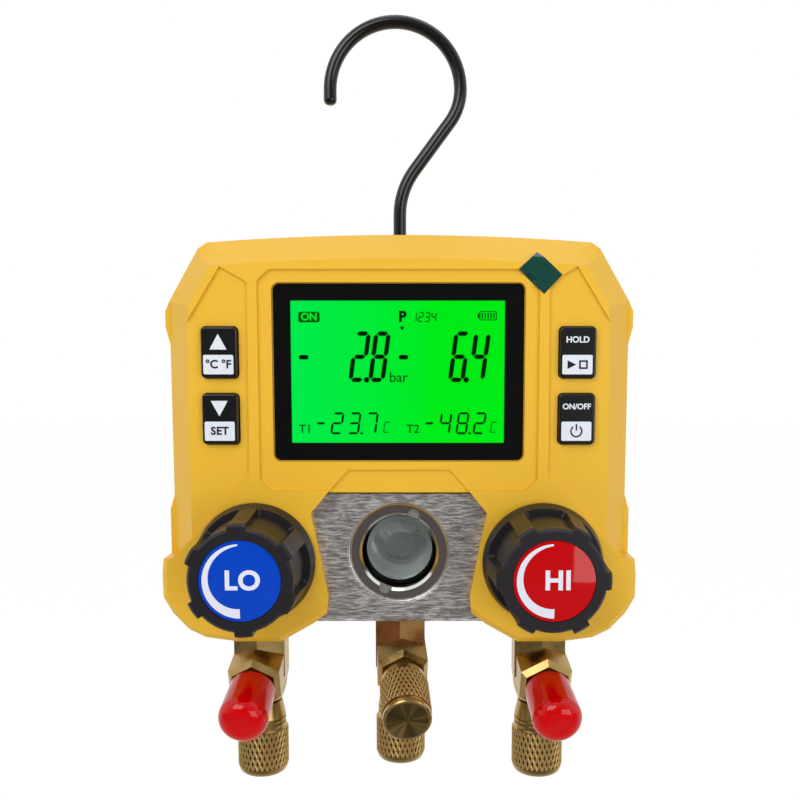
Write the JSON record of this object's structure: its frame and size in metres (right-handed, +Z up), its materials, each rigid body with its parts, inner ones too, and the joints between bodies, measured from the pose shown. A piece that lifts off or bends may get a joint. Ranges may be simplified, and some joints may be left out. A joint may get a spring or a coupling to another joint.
{
  "type": "refrigerant manifold gauge",
  "caption": "Digital manifold gauge for refrigerant: moulded housing, lit display, keys, valve knobs, sight glass, capped flare fittings and a swivel hook.",
  "frame": {"origin": "on the rear face of the housing, on the centre line, at the height of the valve axes", "axes": "+Z up, towards the hook; -Y towards the front, where the display is; +X to the right as seen from the front"},
  "size_m": [0.1568, 0.0798, 0.2579],
  "materials": {
    "yellow_plastic": "satin moulded plastic",
    "black_plastic": "fine-textured moulded plastic",
    "dark_key": "satin moulded plastic",
    "blue_disc": "glossy printed disc",
    "red_disc": "glossy printed disc",
    "lens": "clear window with a dark border",
    "lcd": "lit liquid crystal cell",
    "white_plastic": "diffuser",
    "board": "solder mask",
    "steel": "zinc plated",
    "chrome": "polished",
    "aluminium": "brushed",
    "brass": "turned",
    "rubber": "moulded",
    "glass": "polished",
    "red_vinyl": "glossy dipped vinyl",
    "hook_wire": "glossy black coating",
    "battery": "printed sleeve"
  },
  "bodies": {
    "housing": {"front_cover": "yellow_plastic", "rear_cover": "yellow_plastic", "cover_screws": "steel", "batteries": "battery", "battery_contacts": "steel", "display_lens": "lens", "lcd_panel": "lcd", "lcd_backlight": "white_plastic", "main_board": "board", "board_screws": "steel", "key_switches": "black_plastic", "hook_bushing": "black_plastic", "manifold_block": "aluminium", "manifold_screws": "steel", "gallery_plug": "brass", "sight_glass_lens": "glass", "sight_glass_ring": "chrome", "sight_glass_oring": "rubber", "low_valve_bonnet": "brass", "low_pressure_sensor": "steel", "high_valve_bonnet": "brass", "high_pressure_sensor": "steel", "low_tee": "brass", "center_tee": "brass", "high_tee": "brass"},
    "battery_door": {"battery_door": "yellow_plastic", "battery_door_screw": "steel"},
    "hook": {"hook": "hook_wire", "hook_retainer": "steel"},
    "key_upper_left": {"key_upper_left": "dark_key"},
    "key_lower_left": {"key_lower_left": "dark_key"},
    "key_upper_right": {"key_upper_right": "dark_key"},
    "key_lower_right": {"key_lower_right": "dark_key"},
    "low_valve_lift": {"low_valve_seal": "rubber"},
    "low_knob": {"low_valve_stem": "steel", "low_knob": "black_plastic", "low_knob_disc": "blue_disc", "low_knob_screw": "steel"},
    "high_valve_lift": {"high_valve_seal": "rubber"},
    "high_knob": {"high_valve_stem": "steel", "high_knob": "black_plastic", "high_knob_disc": "red_disc", "high_knob_screw": "steel"},
    "low_gasket": {"low_cap_gasket": "rubber"},
    "low_blank_cap": {"low_blank_cap": "brass"},
    "center_gasket": {"center_cap_gasket": "rubber"},
    "center_blank_cap": {"center_blank_cap": "brass"},
    "high_gasket": {"high_cap_gasket": "rubber"},
    "high_blank_cap": {"high_blank_cap": "brass"},
    "center_front_gasket": {"center_front_gasket": "rubber"},
    "center_front_cap": {"center_front_cap": "brass"},
    "low_vinyl_cap": {"low_vinyl_cap": "red_vinyl"},
    "high_vinyl_cap": {"high_vinyl_cap": "red_vinyl"}
  },
  "joints": [
    {"name": "battery_door_lift", "type": "slide", "parent": "housing", "child": "battery_door", "axis": [0, 1, 0], "range_m": [0, 0.02]},
    {"name": "hook_swivel", "type": "hinge", "parent": "housing", "child": "hook", "pos_m": [0, -0.024, 0.1], "axis": [0, 0, 1], "continuous": true},
    {"name": "key_upper_left_press", "type": "slide", "parent": "housing", "child": "key_upper_left", "axis": [0, 1, 0], "range_m": [0, 0.0008], "stiffness_N_per_m": 1200},
    {"name": "key_lower_left_press", "type": "slide", "parent": "housing", "child": "key_lower_left", "axis": [0, 1, 0], "range_m": [0, 0.0008], "stiffness_N_per_m": 1200},
    {"name": "key_upper_right_press", "type": "slide", "parent": "housing", "child": "key_upper_right", "axis": [0, 1, 0], "range_m": [0, 0.0008], "stiffness_N_per_m": 1200},
    {"name": "key_lower_right_press", "type": "slide", "parent": "housing", "child": "key_lower_right", "axis": [0, 1, 0], "range_m": [0, 0.0008], "stiffness_N_per_m": 1200},
    {"name": "low_valve_lift", "type": "slide", "parent": "housing", "child": "low_valve_lift", "axis": [0, -1, 0], "range_m": [0, 0.00252]},
    {"name": "low_knob_turn", "type": "hinge", "parent": "low_valve_lift", "child": "low_knob", "pos_m": [-0.047, -0.065, 0], "axis": [0, -1, 0], "range_deg": [0, 900]},
    {"name": "high_valve_lift", "type": "slide", "parent": "housing", "child": "high_valve_lift", "axis": [0, -1, 0], "range_m": [0, 0.00252]},
    {"name": "high_knob_turn", "type": "hinge", "parent": "high_valve_lift", "child": "high_knob", "pos_m": [0.047, -0.065, 0], "axis": [0, -1, 0], "range_deg": [0, 900]},
    {"name": "low_cap_back_off", "type": "slide", "parent": "housing", "child": "low_gasket", "axis": [0, 0, -1], "range_m": [0, 0.00636]},
    {"name": "low_cap_unscrew", "type": "hinge", "parent": "low_gasket", "child": "low_blank_cap", "pos_m": [-0.0477, -0.038, -0.07], "axis": [0, 0, -1], "range_deg": [0, 1800]},
    {"name": "center_cap_back_off", "type": "slide", "parent": "housing", "child": "center_gasket", "axis": [0, 0, -1], "range_m": [0, 0.00636]},
    {"name": "center_cap_unscrew", "type": "hinge", "parent": "center_gasket", "child": "center_blank_cap", "pos_m": [0, -0.027, -0.07], "axis": [0, 0, -1], "range_deg": [0, 1800]},
    {"name": "high_cap_back_off", "type": "slide", "parent": "housing", "child": "high_gasket", "axis": [0, 0, -1], "range_m": [0, 0.00636]},
    {"name": "high_cap_unscrew", "type": "hinge", "parent": "high_gasket", "child": "high_blank_cap", "pos_m": [0.0477, -0.038, -0.07], "axis": [0, 0, -1], "range_deg": [0, 1800]},
    {"name": "center_front_cap_back_off", "type": "slide", "parent": "housing", "child": "center_front_gasket", "axis": [0.0746, -0.9481, -0.309], "range_m": [0, 0.00636]},
    {"name": "center_front_cap_unscrew", "type": "hinge", "parent": "center_front_gasket", "child": "center_front_cap", "pos_m": [0.00186, -0.0507, -0.04503], "axis": [0.0746, -0.9481, -0.309], "range_deg": [0, 1800]},
    {"name": "low_vinyl_cap_pull", "type": "slide", "parent": "housing", "child": "low_vinyl_cap", "axis": [-0.0415, -0.9502, -0.309], "range_m": [0, 0.018]},
    {"name": "high_vinyl_cap_pull", "type": "slide", "parent": "housing", "child": "high_vinyl_cap", "axis": [0.0829, -0.9474, -0.309], "range_m": [0, 0.018]}
  ],
  "couplings": [
    {"joint": "low_valve_lift", "follows": "low_knob_turn", "m_per_rad": 0.00015915},
    {"joint": "high_valve_lift", "follows": "high_knob_turn", "m_per_rad": 0.00015915},
    {"joint": "low_cap_back_off", "follows": "low_cap_unscrew", "m_per_rad": 0.00020213},
    {"joint": "center_cap_back_off", "follows": "center_cap_unscrew", "m_per_rad": 0.00020213},
    {"joint": "high_cap_back_off", "follows": "high_cap_unscrew", "m_per_rad": 0.00020213},
    {"joint": "center_front_cap_back_off", "follows": "center_front_cap_unscrew", "m_per_rad": 0.00020213}
  ]
}
